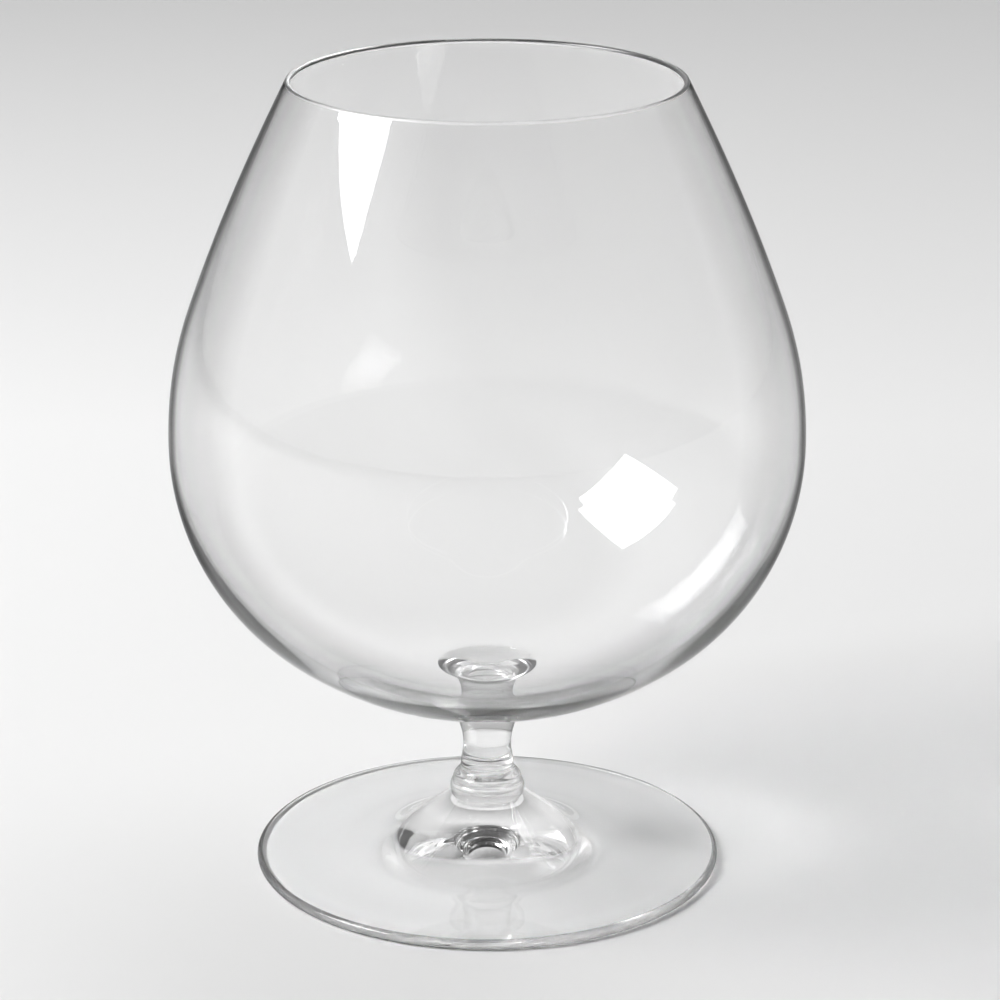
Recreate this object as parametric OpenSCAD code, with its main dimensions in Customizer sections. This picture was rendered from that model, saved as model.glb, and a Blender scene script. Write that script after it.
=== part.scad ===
// Brandy snifter in clear crystal, made of three gathers of glass that are sealed together hot:
// a blown bowl that narrows to its mouth, a short drawn stem, and a round foot with a raised boss.
// Millimetres, +Z up. The origin is the middle of the plane that the foot rests on.

/* [Bowl] */
// Outer diameter at the widest line
bowl_d = 120.6; // [106:0.2:136]
// Outer diameter at the mouth
mouth_d = 74.6; // [62:0.2:88]
// Height from the widest line up to the lip
mouth_rise = 69.1; // [58:0.1:80]
// Lean of the wall at the mouth, in degrees from upright
mouth_lean = 26.5; // [15:0.5:35]
// Outer diameter at the shoulder, halfway up to the mouth
shoulder_d = 111.8; // [104:0.2:118]
// Height of the shoulder above the widest line
shoulder_rise = 25.8; // [18:0.1:34]
// Lean of the wall at the shoulder, in degrees from upright
shoulder_lean = 19.7; // [12:0.1:24]
// Height from the seal on the stem up to the widest line
belly_rise = 51.6; // [46:0.1:60]
// Outer diameter at the heel, where the side turns into the base
heel_d = 81.8; // [70:0.2:94]
// Depth of the heel below the widest line
heel_drop = 39.4; // [34:0.1:44]
// Slope of the wall at the heel, in degrees from level
heel_slope = 37.4; // [30:0.2:45]
// Slope of the base where it leaves the seal, in degrees from level
base_slope = 3.6; // [0:0.2:12]
// Thickness of the lip, which is fire-polished to a full round
lip_wall = 1.1; // [0.8:0.1:2]
// Thickness of the wall at the widest line and at the shoulder
side_wall = 1.2; // [0.8:0.1:2.4]
// Thickness of the wall at the heel
heel_wall = 2.1; // [1.2:0.1:4]
// Thickness of the glass in the middle of the floor
floor_wall = 3.4; // [2:0.1:8]

/* [Stem] */
// Length between the seal on the foot and the seal on the bowl
stem_len = 21.2; // [18:0.1:30]
// Diameter of the flared head that is sealed to the bowl
head_d = 20; // [15:0.1:20.6]
// Height of the flared head
head_h = 7.7; // [6:0.1:9]
// Lean of the flare where it meets the bowl, in degrees from upright
head_lean = 60; // [40:1:75]
// Diameter of the neck, just under the head
neck_d = 10.2; // [8.6:0.1:12]
// Lean of the flare at the neck, in degrees from upright
neck_lean = 15; // [0:1:30]
// Diameter of the waist, the thinnest place
waist_d = 9.3; // [7:0.1:10.6]
// Height of the waist above the seal on the foot
waist_h = 10; // [8.4:0.1:11.5]
// Diameter of the ankle, where the stem starts to spread
ankle_d = 10.2; // [8:0.1:12]
// Height of the ankle above the seal on the foot
ankle_h = 6.4; // [5:0.1:7.6]
// Diameter of the crease above the bead
crease_d = 13.4; // [11.6:0.1:14]
// Diameter of the bead, the squeezed ring at the lower end
bead_d = 14.4; // [14.2:0.1:17]
// Height of the bead
bead_h = 2.8; // [2:0.1:4]

/* [Foot] */
// Diameter of the foot
foot_d = 90.4; // [76:0.2:106]
// Thickness of the foot at its rounded edge
edge_t = 2; // [1.4:0.1:3]
// Width of the flat ring that the foot rests on
rest_w = 3.6; // [2:0.1:8]
// Diameter of the kick, the hollow pressed up under the boss
kick_d = 40; // [32:0.5:44]
// Height of the kick in its middle
kick_h = 4.6; // [3.5:0.1:6]
// Height of the underside at the rim of the kick
kick_rim_h = 1; // [0.5:0.1:1.4]
// Slope of the underside at the rim of the kick, in degrees from level
kick_rim_slope = 8; // [4:0.5:12]
// Diameter of the toe, where the flat brim turns up into the boss
toe_d = 54; // [46:0.2:64]
// Height of the top face at the toe
toe_h = 2.7; // [2.4:0.1:3.4]
// Diameter at the bottom of the straight side of the boss
cone_d = 33.2; // [28:0.2:38]
// Height of the bottom of the straight side of the boss
cone_h = 6.1; // [4.8:0.1:7]
// Height of the boss, up to the seal on the stem
boss_h = 13.1; // [11:0.1:16]
// Diameter of the seal between the foot and the stem
seat_d = 14; // [11:0.1:14.2]

/* [Hidden] */
$fn = 96;

// Turn of a curve from one outline point to the next, in degrees
facet_angle = 3;
// Fewest steps in a curve
least_steps = 8;
// Steps round a rounded edge
edge_steps = 12;
// Handle length of a round curve, as a share of its chord
round_share = 0.35;
// Handle length of a curve that turns both ways, as a share of its chord
sway_share = 0.48;

// Heights of the seals, the widest line and the lip
seal_z = boss_h + stem_len;
belly_z = seal_z + belly_rise;
lip_z = belly_z + mouth_rise;

glass_tint = [0.84, 0.9, 0.92, 0.55];

// Unit direction at an angle from level
function aim(angle) = [cos(angle), sin(angle)];

// Points of a smooth curve that leaves p at angle a and reaches q at angle b, without p itself
function curve(p, a, q, b, share = round_share) =
    let (handle = norm(q - p) * share,
         p_handle = p + handle * aim(a),
         q_handle = q - handle * aim(b),
         steps = max(least_steps, ceil(abs(b - a) / facet_angle)))
    [for (i = [1 : steps])
        let (t = i / steps, u = 1 - t)
        u * u * u * p + 3 * u * u * t * p_handle + 3 * u * t * t * q_handle + t * t * t * q];

// Points of a rounded edge about c, from angle a to angle b, both ends included
function rounded(c, r, a, b) =
    [for (i = [0 : edge_steps]) c + r * aim(a + (b - a) * i / edge_steps)];

// Knots of the bowl's outer face, as [radius, height]
belly_out = [bowl_d / 2, belly_z];
shoulder_out = [shoulder_d / 2, belly_z + shoulder_rise];
heel_out = [heel_d / 2, belly_z - heel_drop];
base_out = [head_d / 2, seal_z];
// The same knots one wall further in
belly_in = belly_out - side_wall * aim(0);
shoulder_in = shoulder_out - side_wall * aim(shoulder_lean);
heel_in = heel_out - heel_wall * aim(heel_slope - 90);
floor_in = [0, seal_z + floor_wall];
// Middle of the round lip, and the ends of its half turn
lip_r = lip_wall / 2;
lip_mid = [mouth_d / 2 - lip_r, lip_z - lip_r];
lip_out = lip_mid + lip_r * aim(mouth_lean);
lip_in = lip_mid - lip_r * aim(mouth_lean);

module bowl() {
    color(glass_tint)
    rotate_extrude()
    polygon(concat(
        [[0, seal_z], base_out],
        curve(base_out, base_slope, heel_out, heel_slope),
        curve(heel_out, heel_slope, belly_out, 90),
        curve(belly_out, 90, shoulder_out, 90 + shoulder_lean),
        curve(shoulder_out, 90 + shoulder_lean, lip_out, 90 + mouth_lean),
        rounded(lip_mid, lip_r, mouth_lean, 180 + mouth_lean),
        curve(lip_in, mouth_lean - 90, shoulder_in, shoulder_lean - 90),
        curve(shoulder_in, shoulder_lean - 90, belly_in, -90),
        curve(belly_in, -90, heel_in, heel_slope - 180),
        curve(heel_in, heel_slope - 180, floor_in, -180)));
}

// Knots of the stem, from its seal on the foot upwards
seat_low = [seat_d / 2, boss_h];
bead = [bead_d / 2, boss_h + bead_h / 2];
crease = [crease_d / 2, boss_h + bead_h];
ankle = [ankle_d / 2, boss_h + ankle_h];
waist = [waist_d / 2, boss_h + waist_h];
neck = [neck_d / 2, seal_z - head_h];
head = [head_d / 2, seal_z];
// Tilt of the bead's side at its seal and at the crease, in degrees from upright
bead_tilt = 2 * atan((bead_d - seat_d) / bead_h);
crease_tilt = 2 * atan((bead_d - crease_d) / bead_h);

module stem() {
    color(glass_tint)
    rotate_extrude()
    polygon(concat(
        [[0, boss_h], seat_low],
        curve(seat_low, 90 - bead_tilt, bead, 90),
        curve(bead, 90, crease, 90 + crease_tilt),
        curve(crease, 90, ankle, 90, sway_share),
        curve(ankle, 90, waist, 90),
        curve(waist, 90, neck, 90 - neck_lean),
        curve(neck, 90 - neck_lean, head, 90 - head_lean),
        [[0, seal_z]]));
}

// Knots of the foot, from under its middle outwards and up
kick = [0, kick_h];
kick_rim = [kick_d / 2, kick_rim_h];
rest_out_r = foot_d / 2 - edge_t / 2;
rest_in = [rest_out_r - rest_w, 0];
toe = [toe_d / 2, toe_h];
cone = [cone_d / 2, cone_h];
seat_top = [seat_d / 2, boss_h];
// Slopes of the underside at the rest ring, of the brim and of the boss, in degrees from level
rest_slope = atan(kick_rim_h / rest_in[0]);
brim_slope = atan((toe_h - edge_t) / (rest_out_r - toe[0]));
boss_slope = atan((boss_h - cone_h) / (cone[0] - seat_top[0]));

module foot() {
    color(glass_tint)
    rotate_extrude()
    polygon(concat(
        [kick],
        curve(kick, 0, kick_rim, -kick_rim_slope),
        curve(kick_rim, -kick_rim_slope, rest_in, -rest_slope),
        rounded([rest_out_r, edge_t / 2], edge_t / 2, -90, 90),
        [toe],
        curve(toe, 180 - brim_slope, cone, 180 - boss_slope),
        [seat_top, [0, boss_h]]));
}

bowl();
stem();
foot();
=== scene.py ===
# %% [markdown]
# # A brandy snifter in clear crystal
# The glass is made of three gathers of crystal, which are sealed to each other while they are hot: a
# blown bowl, a drawn stem and a round foot. Nothing on it is painted or cut, so its looks are its
# outline, the thickness of its walls, and what the crystal does to the light of the room.
#
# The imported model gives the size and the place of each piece, and each is modelled here again as a
# smooth shell, because clear glass shows every facet twice: once in its reflections and once in what is
# seen through it.

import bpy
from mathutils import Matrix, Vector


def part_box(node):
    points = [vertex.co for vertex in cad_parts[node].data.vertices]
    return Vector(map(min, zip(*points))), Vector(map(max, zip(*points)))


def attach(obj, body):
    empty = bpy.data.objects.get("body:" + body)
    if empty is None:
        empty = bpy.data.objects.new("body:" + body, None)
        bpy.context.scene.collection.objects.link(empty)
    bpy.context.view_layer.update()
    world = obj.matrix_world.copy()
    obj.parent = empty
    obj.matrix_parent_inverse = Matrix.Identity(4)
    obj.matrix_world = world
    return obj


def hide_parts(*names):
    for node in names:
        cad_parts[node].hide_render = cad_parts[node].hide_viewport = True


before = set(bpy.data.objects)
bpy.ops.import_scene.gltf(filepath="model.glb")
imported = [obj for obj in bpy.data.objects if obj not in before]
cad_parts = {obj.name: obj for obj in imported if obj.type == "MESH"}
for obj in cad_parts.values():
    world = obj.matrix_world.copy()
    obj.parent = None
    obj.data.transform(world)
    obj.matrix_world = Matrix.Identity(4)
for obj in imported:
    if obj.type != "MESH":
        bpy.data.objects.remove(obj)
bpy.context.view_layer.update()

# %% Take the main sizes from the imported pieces
import math

import bpy
from mathutils import Vector

MM = 0.001
bowl_low, bowl_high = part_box("bowl")
_, foot_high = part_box("foot")
bowl_r = bowl_high.x / MM
foot_r = foot_high.x / MM
seat_z = foot_high.z / MM
seal_z = bowl_low.z / MM
lip_z = bowl_high.z / MM
print(f"bowl {2 * bowl_r:.1f} mm wide, foot {2 * foot_r:.1f} mm wide, lip at {lip_z:.1f} mm")
print(f"the stem runs from {seat_z:.1f} to {seal_z:.1f} mm")

# %% [markdown]
# ## Outlines
# Each gather is round about its axis, so it is drawn as half of a section, with the radius across and
# the height up. A section could be a list of many short steps, but a blown wall is a free curve, which
# the hand leaves smooth. So the outline is a Bezier curve with a knot only where the real shape has a
# place worth a name: the seal, the heel, the belly, the shoulder and the lip.

# %% Draw an outline from knots
# Handle length as a share of the step: for a round curve, and for one that turns both ways
ROUND = 0.35
SWAY = 0.48


def aim(angle):
    """Unit direction at an angle from level, in degrees."""
    return Vector((math.cos(math.radians(angle)), math.sin(math.radians(angle))))


class Outline:
    """Half of a section in millimetres, as knots: [point, handle before it, handle after it]."""

    def __init__(self, start):
        self.knots = [[Vector(start), None, None]]

    def sweep(self, leave, point, arrive, share=ROUND):
        """A smooth curve that leaves at one angle and arrives at another, in degrees."""
        last = self.knots[-1]
        point = Vector(point)
        reach = (point - last[0]).length * share
        last[2] = last[0] + reach * aim(leave)
        self.knots.append([point, point - reach * aim(arrive), None])
        return self

    def straight(self, point):
        """A straight step to the next knot."""
        self.knots.append([Vector(point), None, None])
        return self

    def quarter_turns(self, middle, radius, start, count=2):
        """A true round of so many quarter turns to the left about its middle."""
        handle = 4 / 3 * math.tan(math.radians(90) / 4) * radius
        for turn in range(count):
            from_angle = start + 90 * turn
            to_angle = from_angle + 90
            last = self.knots[-1]
            last[2] = last[0] + handle * aim(from_angle + 90)
            point = Vector(middle) + radius * aim(to_angle)
            self.knots.append([point, point - handle * aim(to_angle + 90), None])
        return self


# %% [markdown]
# ## From outline to gather
# A glassblower turns the pipe, and the turning makes the form round. The same thing happens here: the
# outline becomes a chain of edges, and edit mode spins it about the upright axis. A lathe modifier would
# do it too, but a spin leaves plain faces behind, whose doubled points at the seam and at the poles can
# be merged at once. Then the normals are turned outwards, since refraction goes wrong on a shell that is
# inside out.

# %% Spin an outline into a closed piece
CURVE_STEPS = 24
TURN_STEPS = 192
MERGE_GAP = 0.002 * MM
SHARP_ANGLE = 28


def spin_gather(name, outline):
    """A closed round piece from its outline, with its place in its mesh."""
    bpy.ops.object.select_all(action="DESELECT")
    bpy.ops.curve.primitive_bezier_curve_add(location=(0, 0, 0))
    curve = bpy.context.object
    curve.name = name
    curve.data.dimensions = "3D"
    curve.data.resolution_u = CURVE_STEPS
    bpy.ops.object.mode_set(mode="EDIT")
    bpy.ops.curve.select_all(action="SELECT")
    # A new curve has two knots, so cuts make the others
    bpy.ops.curve.subdivide(number_cuts=len(outline.knots) - 2)
    bpy.ops.object.mode_set(mode="OBJECT")
    for knot, (point, before, after) in zip(curve.data.splines[0].bezier_points, outline.knots):
        knot.handle_left_type = "FREE" if before else "VECTOR"
        knot.handle_right_type = "FREE" if after else "VECTOR"
        knot.co = (point.x * MM, 0, point.y * MM)
        if before:
            knot.handle_left = (before.x * MM, 0, before.y * MM)
        if after:
            knot.handle_right = (after.x * MM, 0, after.y * MM)
    bpy.ops.object.convert(target="MESH")
    bpy.ops.object.mode_set(mode="EDIT")
    bpy.ops.mesh.select_all(action="SELECT")
    bpy.ops.mesh.spin(steps=TURN_STEPS, angle=2 * math.pi, center=(0, 0, 0), axis=(0, 0, 1))
    bpy.ops.mesh.select_all(action="SELECT")
    bpy.ops.mesh.remove_doubles(threshold=MERGE_GAP)
    bpy.ops.mesh.normals_make_consistent(inside=False)
    bpy.ops.object.mode_set(mode="OBJECT")
    bpy.ops.object.shade_smooth_by_angle(angle=math.radians(SHARP_ANGLE))
    piece = bpy.context.object
    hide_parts(name.removesuffix("_crystal"))
    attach(piece, "root")
    print(f"{name}: {len(outline.knots)} knots, {len(piece.data.polygons)} faces")
    return piece


# %% [markdown]
# ## The bowl
# The bowl is blown. Its wall is thin from the lip down to the belly, where the bubble was stretched
# furthest, and it thickens towards the heel and the floor, where the gather stayed on the pipe's cold
# end. The mouth is cut and then melted in a flame, which draws the lip into a full round. All of this
# shows: the thick heel bends the floor behind it into grey bands, which painted shade on the floor of the
# bowl deepens, and the lip is a bright thread. So both faces of the wall are drawn, not one face with an
# even thickness.

# %% Bowl: outer face, lip and inner face
belly_rise = 51.6
shoulder_rise = 25.8
heel_drop = 39.4
shoulder_r = 111.8 / 2
heel_r = 81.8 / 2
head_r = 20 / 2
mouth_r = 74.6 / 2
shoulder_lean = 19.7
mouth_lean = 26.5
heel_slope = 37.4
base_slope = 3.6
lip_wall = 1.1
side_wall = 1.2
heel_wall = 2.1
floor_wall = 3.4

belly_z = seal_z + belly_rise
belly = Vector((bowl_r, belly_z))
shoulder = Vector((shoulder_r, belly_z + shoulder_rise))
heel = Vector((heel_r, belly_z - heel_drop))
lip_middle = Vector((mouth_r - lip_wall / 2, lip_z - lip_wall / 2))
shoulder_in = shoulder - side_wall * aim(shoulder_lean)
belly_in = belly - side_wall * aim(0)
heel_in = heel - heel_wall * aim(heel_slope - 90)

bowl_line = Outline((0, seal_z)).straight((head_r, seal_z))
bowl_line.sweep(base_slope, heel, heel_slope).sweep(heel_slope, belly, 90)
bowl_line.sweep(90, shoulder, 90 + shoulder_lean)
bowl_line.sweep(90 + shoulder_lean, lip_middle + lip_wall / 2 * aim(mouth_lean), 90 + mouth_lean)
bowl_line.quarter_turns(lip_middle, lip_wall / 2, mouth_lean)
bowl_line.sweep(mouth_lean - 90, shoulder_in, shoulder_lean - 90)
bowl_line.sweep(shoulder_lean - 90, belly_in, -90)
bowl_line.sweep(-90, heel_in, heel_slope - 180)
bowl_line.sweep(heel_slope - 180, (0, seal_z + floor_wall), -180)
bowl = spin_gather("bowl_crystal", bowl_line)

# %% [markdown]
# ## The stem
# The stem is drawn out of a second gather and flares where it meets the bowl. The pincers that hold it
# while it is sealed to the foot leave a bead round its lower end, with a crease above it.

# %% Stem: bead, crease, waist and flared head
head_h = 7.7
head_lean = 60
neck_lean = 15
neck_r = 10.2 / 2
waist_r = 9.3 / 2
waist_h = 10
ankle_r = 10.2 / 2
ankle_h = 6.4
crease_r = 13.4 / 2
bead_r = 14.4 / 2
bead_h = 2.8
seat_r = 14 / 2
bead_tilt = 2 * math.degrees(math.atan(2 * (bead_r - seat_r) / bead_h))
crease_tilt = 2 * math.degrees(math.atan(2 * (bead_r - crease_r) / bead_h))

stem_line = Outline((0, seat_z)).straight((seat_r, seat_z))
stem_line.sweep(90 - bead_tilt, (bead_r, seat_z + bead_h / 2), 90)
stem_line.sweep(90, (crease_r, seat_z + bead_h), 90 + crease_tilt)
stem_line.sweep(90, (ankle_r, seat_z + ankle_h), 90, SWAY)
stem_line.sweep(90, (waist_r, seat_z + waist_h), 90)
stem_line.sweep(90, (neck_r, seal_z - head_h), 90 - neck_lean)
stem_line.sweep(90 - neck_lean, (head_r, seal_z), 90 - head_lean)
stem_line.straight((0, seal_z))
stem = spin_gather("stem_crystal", stem_line)

# %% [markdown]
# ## The foot
# The foot is a disc with a raised boss. It stands on a narrow flat ring. Inside the ring the underside
# is a little hollow, so that it can't rock, and under the boss it is pressed up into a kick. The kick is
# out of sight, but it bends the light in the boss into the grey waves that are seen from above.

# %% Foot: kick, rest ring, rounded edge, brim and boss
edge_t = 2
rest_w = 3.6
rest_out = foot_r - edge_t / 2
rest_in = Vector((rest_out - rest_w, 0))
kick_rim = Vector((40 / 2, 1))
kick_rim_slope = 8
kick_h = 4.6
toe = Vector((54 / 2, 2.7))
cone = Vector((33.2 / 2, 6.1))
rest_slope = math.degrees(math.atan(kick_rim.y / rest_in.x))
brim_slope = math.degrees(math.atan((toe.y - edge_t) / (rest_out - toe.x)))
boss_slope = math.degrees(math.atan((seat_z - cone.y) / (cone.x - seat_r)))

foot_line = Outline((0, kick_h)).sweep(0, kick_rim, -kick_rim_slope)
foot_line.sweep(-kick_rim_slope, rest_in, -rest_slope).straight((rest_out, 0))
foot_line.quarter_turns((rest_out, edge_t / 2), edge_t / 2, -90)
foot_line.straight(toe).sweep(180 - brim_slope, cone, 180 - boss_slope)
foot_line.straight((seat_r, seat_z)).straight((0, seat_z))
foot = spin_gather("foot_crystal", foot_line)

# %% [markdown]
# ## Crystal
# Lead-free crystal is clear soda-potash glass, fire-polished, so its surface is as smooth as a liquid,
# and it bends light a little more than window glass does. One glass shader with the right index of
# refraction is enough for the boss and the brim of the foot and for the inside of the bowl: their greys
# are the room, seen through glass. The lip is the last thing to be melted, and its round is never quite
# even. A little roughness there spreads the mirror image of the lamp into a soft thread.

# %% Add shader nodes with their settings and links
def linear(hex_colour):
    """An sRGB hex colour as linear red, green, blue and alpha."""
    channels = [int(hex_colour[i:i + 2], 16) / 255 for i in (1, 3, 5)]
    return [c / 12.92 if c <= 0.04045 else ((c + 0.055) / 1.055) ** 2.4 for c in channels] + [1]


def add_node(tree, kind, settings=(), **inputs):
    """A node with its settings, and its inputs set to values or linked to sockets."""
    node = tree.nodes.new("ShaderNode" + kind)
    for name, value in dict(settings).items():
        setattr(node, name, value)
    for name, value in inputs.items():
        socket = node.inputs[name.replace("_", " ")]
        if isinstance(value, bpy.types.NodeSocket):
            tree.links.new(value, socket)
        else:
            socket.default_value = value
    return node


def empty_tree(owner):
    """The node tree of a material or a world, with nothing in it."""
    owner.use_nodes = True
    owner.node_tree.nodes.clear()
    return owner.node_tree


def set_ramp(node, stops):
    """Stops of a colour ramp, as (place, hex colour)."""
    elements = node.color_ramp.elements
    while len(elements) < len(stops):
        elements.new(0.5)
    for element, (place, hex_colour) in zip(elements, stops):
        element.position = place
        element.color = linear(hex_colour)
    return node.outputs["Color"]


# %% Crystal, plain: the foot, the inside of the bowl and the lip
CRYSTAL_IOR = 1.52
LIP_ROUGHNESS = 0.3


def make_plain_crystal(name, roughness):
    """Clear glass that looks the same however it is turned."""
    crystal = bpy.data.materials.new(name)
    tree = empty_tree(crystal)
    glass = add_node(tree, "BsdfPrincipled", Base_Color=linear("#ffffff"), Roughness=roughness,
                     IOR=CRYSTAL_IOR, Transmission_Weight=1)
    add_node(tree, "OutputMaterial", Surface=glass.outputs["BSDF"])
    return crystal


# Polished by the flame alone: hard mirror images, and a clear view through
plain_crystal = make_plain_crystal("crystal_fire_polished", 0)
# Melted last: a bright thread with soft ends
lip_crystal = make_plain_crystal("crystal_melted_lip", LIP_ROUGHNESS)
print("crystal:", plain_crystal.name, "and", lip_crystal.name)

# %% [markdown]
# ## The blown wall and its painted shade
# A thin wall bends nothing, and square on it passes nearly all the light. Where it turns away from the
# eye, a soft grey towards the side and a thin dark line at the very edge are painted shade: a colour that
# the glass shader lays on the light by the facing of the wall. The line could come from dark boards beside
# the glass, but then it would be there from one side only. Painted by the facing, it is the same from all
# sides.
#
# The painted shade counts only on the outer face, and only where a line of sight goes into the glass.
# Inside the wall the line goes on turning, and every turn would grey it again. Towards the floor the wall
# is thick enough to draw its own greys, so there the painted shade fades out.
#
# The stem and the edge of the foot are rounder than the wall and turn away sooner, so they get painted
# shade of their own in the same way. The floor of the bowl has painted shade on its inner face, for a line
# of sight that meets that face from inside the thick glass.

# %% Crystal with painted shade that greys as it turns away
def make_shade_painted_crystal(name, painted_greys, fade, enters=True):
    """Clear glass with painted shade by its facing, which fades in between two heights.

    They count for a line of sight that enters the glass, or else for one that comes from inside it.
    """
    crystal = bpy.data.materials.new(name)
    tree = empty_tree(crystal)
    turn = add_node(tree, "LayerWeight", Blend=0.5)
    painted_shade = set_ramp(add_node(tree, "ValToRGB", Fac=turn.outputs["Facing"]), painted_greys)
    side = add_node(tree, "NewGeometry")
    meets = add_node(tree, "MapRange", Value=side.outputs["Backfacing"],
                     To_Min=1 if enters else 0, To_Max=0 if enters else 1)
    place = add_node(tree, "TexCoord")
    height = add_node(tree, "SeparateXYZ", Vector=place.outputs["Object"])
    share = add_node(tree, "MapRange", Value=height.outputs["Z"], From_Min=fade[0], From_Max=fade[1],
                     To_Max=meets.outputs["Result"])
    colour = add_node(tree, "Mix", {"data_type": "RGBA"}, Factor=share.outputs["Result"])
    # A mix has one pair of sockets for each kind of data; these numbers are its two colours and its result
    colour.inputs[6].default_value = linear("#ffffff")
    tree.links.new(painted_shade, colour.inputs[7])
    glass = add_node(tree, "BsdfGlass", Color=colour.outputs[2], Roughness=0, IOR=CRYSTAL_IOR)
    add_node(tree, "OutputMaterial", Surface=glass.outputs["BSDF"])
    return crystal


# %% Crystal with painted shade: the blown wall, the floor of the bowl, the stem and the edge of the foot
# Each stop is (how far the face has turned away, painted grey): 0 is square on and 1 is edge on
WALL_PAINTED_SHADE = [
    (0, "#ffffff"), (0.4, "#ffffff"), (0.52, "#eeeeee"), (0.635, "#e5e5e5"), (0.72, "#e4e4e4"),
    (0.78, "#d4d4d4"), (0.82, "#9e9e9e"), (0.865, "#787878"), (0.92, "#989898"), (1, "#b4b4b4"),
]
FLOOR_PAINTED_SHADE = [(0, "#ffffff"), (0.18, "#fcfcfc"), (0.3, "#a4a4a4"), (1, "#686868")]
STEM_PAINTED_SHADE = [(0, "#ffffff"), (0.45, "#ffffff"), (0.7, "#dcdcdc"), (0.85, "#a8a8a8"), (1, "#888888")]
EDGE_PAINTED_SHADE = [(0, "#ffffff"), (0.2, "#e0e0e0"), (0.5, "#c0c0c0"), (0.85, "#989898"), (1, "#808080")]
# Heights where painted shade starts and is full; the last pair lies under the foot, so it is full all over
WALL_FADE = (46 * MM, 68 * MM)
FLOOR_FADE = (50 * MM, 44 * MM)
NO_FADE = (-2 * MM, -1 * MM)

# Blown thin, with painted shade: a soft grey towards the side, and a dark line at the very edge
blown_shade_painted = make_shade_painted_crystal("crystal_blown_thin_painted_shade", WALL_PAINTED_SHADE, WALL_FADE)
# Left thick by the blowing, with painted shade: a grey band across the bottom of the bowl
floor_shade_painted = make_shade_painted_crystal("crystal_blown_thick_painted_shade", FLOOR_PAINTED_SHADE, FLOOR_FADE, enters=False)
# Drawn out into a rod: clear in the middle, with painted shade down both sides
drawn_shade_painted = make_shade_painted_crystal("crystal_drawn_round_painted_shade", STEM_PAINTED_SHADE, NO_FADE)
# Pressed flat and left to round itself: a painted grey thread of shade about the foot
edge_shade_painted = make_shade_painted_crystal("crystal_pressed_edge_painted_shade", EDGE_PAINTED_SHADE, NO_FADE)
for crystal in (blown_shade_painted, floor_shade_painted, drawn_shade_painted, edge_shade_painted):
    print("turning crystal:", crystal.name)

# %% [markdown]
# ## Seals
# Two gathers that are sealed hot are one body of glass, and no surface is left between them. Each piece
# here is closed all round, with a flat face on each side of the seal. Left as glass, those faces would
# bend and reflect the light, so they get a material that lets it straight through.

# %% Seal: the clear faces where two gathers meet
# Melted into one: no line or mirror image shows inside the joint
seal_crystal = bpy.data.materials.new("crystal_hot_seal")
seal_tree = empty_tree(seal_crystal)
clear = add_node(seal_tree, "BsdfPrincipled", Alpha=0)
add_node(seal_tree, "OutputMaterial", Surface=clear.outputs["BSDF"])
print("seals at", round(seat_z, 2), "and", round(seal_z, 2), "mm")

# %% Give each face its crystal
# How far a seal's face may be from level, and from its height in millimetres
FLAT = 0.0001
# Depth of the melted lip, and height up to which the floor's painted shade reaches, in millimetres
LIP_DEPTH = 0.75 * lip_wall
FLOOR_TOP = FLOOR_FADE[0] / MM

# Four of these carry painted shade: the blown wall, the floor of the bowl, the stem and the foot's edge
CRYSTALS = [
    plain_crystal, seal_crystal, blown_shade_painted, lip_crystal, floor_shade_painted, drawn_shade_painted, edge_shade_painted,
]
PLAIN, SEAL, BLOWN_PAINTED, LIP, FLOOR_PAINTED, DRAWN_PAINTED, EDGE_PAINTED = range(len(CRYSTALS))


def crystal_of(piece, face, seal_heights):
    """The place in CRYSTALS of the crystal that a face is made of."""
    radius = math.hypot(face.center.x, face.center.y) / MM
    height = face.center.z / MM
    outwards = face.normal.x * face.center.x + face.normal.y * face.center.y > 0
    if abs(face.normal.z) > 1 - FLAT and any(abs(height - level) < FLAT for level in seal_heights):
        return SEAL
    if piece is stem:
        return DRAWN_PAINTED
    if piece is foot:
        return EDGE_PAINTED if radius > rest_out else PLAIN
    if height > lip_z - LIP_DEPTH:
        return LIP
    if outwards:
        return BLOWN_PAINTED
    return FLOOR_PAINTED if height < FLOOR_TOP else PLAIN


for piece, seal_heights in ((bowl, [seal_z]), (stem, [seat_z, seal_z]), (foot, [seat_z])):
    for material in CRYSTALS:
        piece.data.materials.append(material)
    for face in piece.data.polygons:
        face.material_index = crystal_of(piece, face, seal_heights)
    faces = [face.material_index for face in piece.data.polygons]
    print(f"{piece.name}:", {material.name: faces.count(i) for i, material in enumerate(CRYSTALS)})

# %% [markdown]
# ## The sheet
# The glass stands on a plain pale sheet. Clear glass shows nothing of its own, so the sheet is what is
# seen through it, and it has to reach far enough back for every ray that the bowl bends. Its grey is
# painted light: palest 28 cm behind the glass, and falling off with depth like the light of a lamp. It
# lies a hair below the foot, because two faces in one plane shadow each other.

# %% Sheet
SHEET_GAP = 0.1 * MM
SHEET_R = 3
# Each stop is (metres behind the glass, painted light as a grey)
SHEET_PAINTED_LIGHT = [(0, "#e1e1e1"), (0.28, "#ebebeb"), (0.42, "#e7e7e7"), (0.7, "#e2e2e2"), (1, "#dcdcdc")]

# Uncoated paper: no shine at all, so its grey is the same from every side; the grey is painted light
sheet = bpy.data.materials.new("paper_matt_painted_light")
sheet_tree = empty_tree(sheet)
sheet_place = add_node(sheet_tree, "TexCoord")
depth = add_node(sheet_tree, "SeparateXYZ", Vector=sheet_place.outputs["Object"])
sheet_painted_light = set_ramp(add_node(sheet_tree, "ValToRGB", Fac=depth.outputs["Y"]), SHEET_PAINTED_LIGHT)
matt = add_node(sheet_tree, "BsdfPrincipled", Base_Color=sheet_painted_light, Roughness=1, Specular_IOR_Level=0)
add_node(sheet_tree, "OutputMaterial", Surface=matt.outputs["BSDF"])

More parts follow.
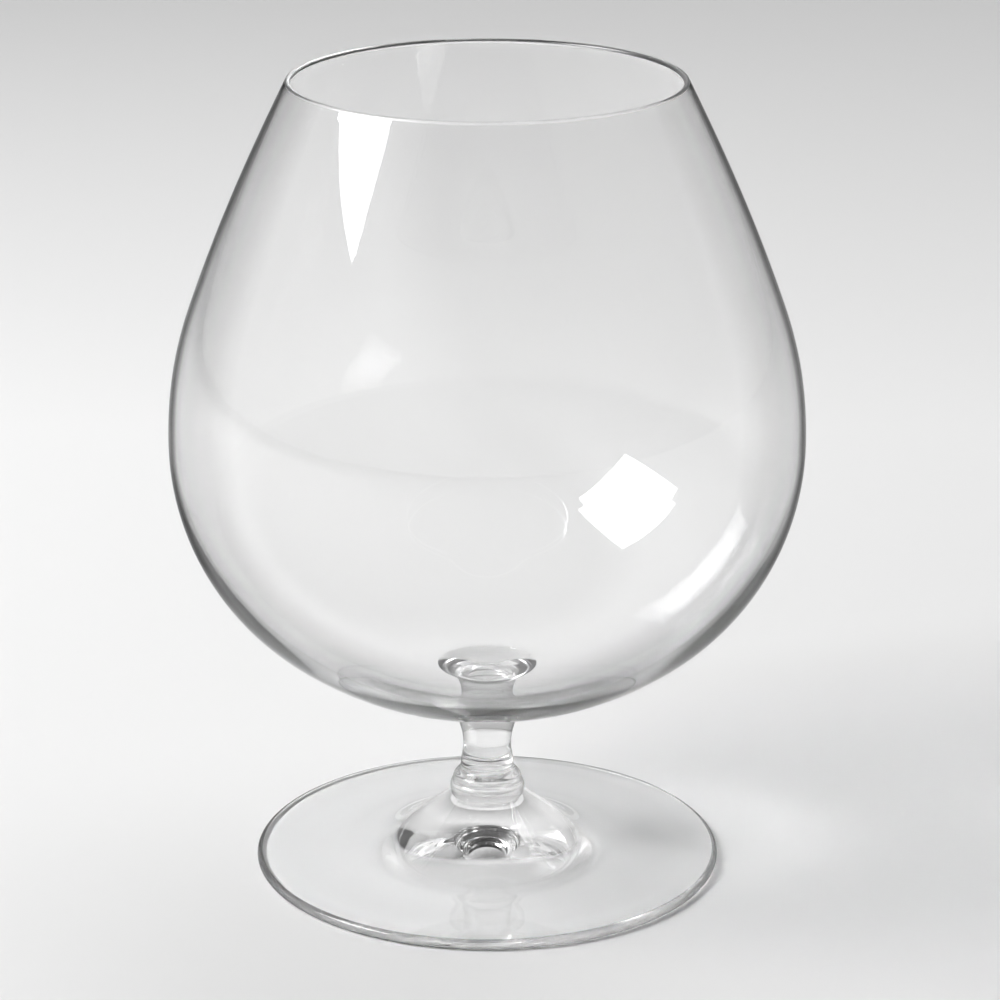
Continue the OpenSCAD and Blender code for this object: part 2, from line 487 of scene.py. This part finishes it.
bpy.ops.object.select_all(action="DESELECT")
bpy.ops.mesh.primitive_circle_add(vertices=96, radius=SHEET_R, fill_type="NGON",
                                  location=(0, 0, -SHEET_GAP))
floor = bpy.context.object
floor.name = "floor"
floor.data.materials.append(sheet)
print(f"the sheet is {2 * SHEET_R} m across")

# %% [markdown]
# ## The room and the lamps
# One soft box stands high on the left, a little in front of the glass. It is mirrored in the shoulder on
# the left and, upside down, in the inner wall on the right. A grid on its front keeps most of its light
# on the glass, so the sheet below it stays grey. Glass mirrors only a twenty-fifth part of what falls on
# it, and still such a lamp is mirrored as plain white. So a second lamp in the same place is seen in
# mirror images only. A wide soft box high up behind lights the sheet, and no mirror image shows it.
#
# The room is pale low down all round, and its ceiling is dark, most of all towards the front right.
# Thick glass turns the ceiling over and shows it in small black arcs, which give the boss its drawing.
# Dark walls would do that too, but their lower edge would be mirrored as a hard line across the bowl.

# %% Room
DARK_SIDE = Vector((0.4, -0.22, 0.9)).normalized()
# Each stop is (share of the way round towards the dark side, grey)
ROOM_GREYS = [(0, "#fafafa"), (0.64, "#f5f5f5"), (0.77, "#404040"), (1, "#303030")]
# Strength of the room's light at the level of the sheet, and from 30 degrees up, where the upward part of
# a direction is a half
LOW_LIGHT = 0.5
HIGH_LIGHT = 0.95
HIGH_FROM = 0.5

room = bpy.data.worlds.new("pale_room")
bpy.context.scene.world = room
room_tree = empty_tree(room)
room_place = add_node(room_tree, "TexCoord")
towards = add_node(room_tree, "VectorMath", {"operation": "DOT_PRODUCT"})
room_tree.links.new(room_place.outputs["Generated"], towards.inputs[0])
towards.inputs[1].default_value = DARK_SIDE
way_round = add_node(room_tree, "MapRange", Value=towards.outputs["Value"], From_Min=-1, From_Max=1)
room_grey = set_ramp(add_node(room_tree, "ValToRGB", Fac=way_round.outputs["Result"]), ROOM_GREYS)
way_up = add_node(room_tree, "SeparateXYZ", Vector=room_place.outputs["Generated"])
lift = add_node(room_tree, "MapRange", Value=way_up.outputs["Z"], From_Max=HIGH_FROM,
                To_Min=LOW_LIGHT, To_Max=HIGH_LIGHT)
glow = add_node(room_tree, "Background", Color=room_grey, Strength=lift.outputs["Result"])
add_node(room_tree, "OutputWorld", Surface=glow.outputs["Background"])
print("the room is darkest towards", [round(value, 2) for value in DARK_SIDE])

# %% Soft boxes
def add_soft_box(name, place, target, size, power):
    """A flat lamp that looks from a place to a target, in metres and watts."""
    bpy.ops.object.light_add(type="AREA", location=place)
    box = bpy.context.object
    box.name = name
    box.data.shape = "RECTANGLE"
    box.data.size, box.data.size_y = size
    box.data.energy = power
    box.rotation_euler = (Vector(target) - Vector(place)).to_track_quat("-Z", "Y").to_euler()
    return box


# Places and sizes in metres, powers in watts, and the opening of the grid in degrees
KEY_PLACE = (-1.296, -0.262, 1.182)
KEY_SIZE = (0.926, 0.804)
KEY_POWER = 13.2
KEY_GRID = 110
GLINT_POWER = 56
GLASS_MIDDLE = (0, 0, 0.09)
SHEET_LAMP_PLACE = (0.8, 1.4, 2.4)
SHEET_LAMP_TARGET = (0.2, 0.3, 0)
SHEET_LAMP_SIZE = (2.4, 2.4)
SHEET_LAMP_POWER = 23

key = add_soft_box("key_soft_box", KEY_PLACE, GLASS_MIDDLE, KEY_SIZE, KEY_POWER)
key.data.spread = math.radians(KEY_GRID)
glint = add_soft_box("key_glint", KEY_PLACE, GLASS_MIDDLE, KEY_SIZE, GLINT_POWER)
glint.visible_diffuse = False
sheet_lamp = add_soft_box("sheet_soft_box", SHEET_LAMP_PLACE, SHEET_LAMP_TARGET, SHEET_LAMP_SIZE,
                          SHEET_LAMP_POWER)
sheet_lamp.visible_glossy = False
sheet_lamp.visible_transmission = False
print(f"the key stands {key.location.length:.2f} m away")
print(f"the lamp for the sheet stands {sheet_lamp.location.length:.2f} m away")

# %% [markdown]
# ## Camera
# The glass is seen from 19 degrees above, near enough for the mouth to open into a clear oval and far
# enough for the sides to stay nearly parallel.

# %% Camera
# Metres back from the glass and up from the sheet, degrees of tilt, and millimetres of lens
CAMERA_BACK = 0.6601
CAMERA_UP = 0.2952
CAMERA_TILT = 18.587
CAMERA_LENS = 131.3
CAMERA_SHIFT = 0.0128

tilt = (math.radians(90 - CAMERA_TILT), 0, 0)
bpy.ops.object.camera_add(location=(0, -CAMERA_BACK, CAMERA_UP), rotation=tilt)
camera = bpy.context.object
camera.data.sensor_width = 36
camera.data.lens = CAMERA_LENS
camera.data.shift_x = CAMERA_SHIFT
camera.data.clip_start = 0.01
bpy.context.scene.camera = camera
bpy.context.scene.view_settings.view_transform = "Standard"
print(f"the camera looks down at {CAMERA_TILT:.1f} degrees through a {CAMERA_LENS:.0f} mm lens")

# %% [markdown]
# ## Light through glass
# The light that falls through the foot on to the sheet has been bent four times. In the boss it may turn
# twenty times before it gets out, and inside the wall of the bowl it is led round and round like the
# light in a glass fibre. By default such paths are blurred and cut short, which would leave the sheet
# under the glass dark, parts of the boss black and the lower edge of the bowl a black line. So the aids
# are turned off, and the paths may be long.

# %% Keep the light that comes through the glass
BENDS = 128
path_settings = bpy.context.scene.cycles
path_settings.blur_glossy = 0
path_settings.sample_clamp_indirect = 0
path_settings.max_bounces = BENDS
path_settings.transmission_bounces = BENDS
path_settings.glossy_bounces = BENDS
print("a path may turn", BENDS, "times")
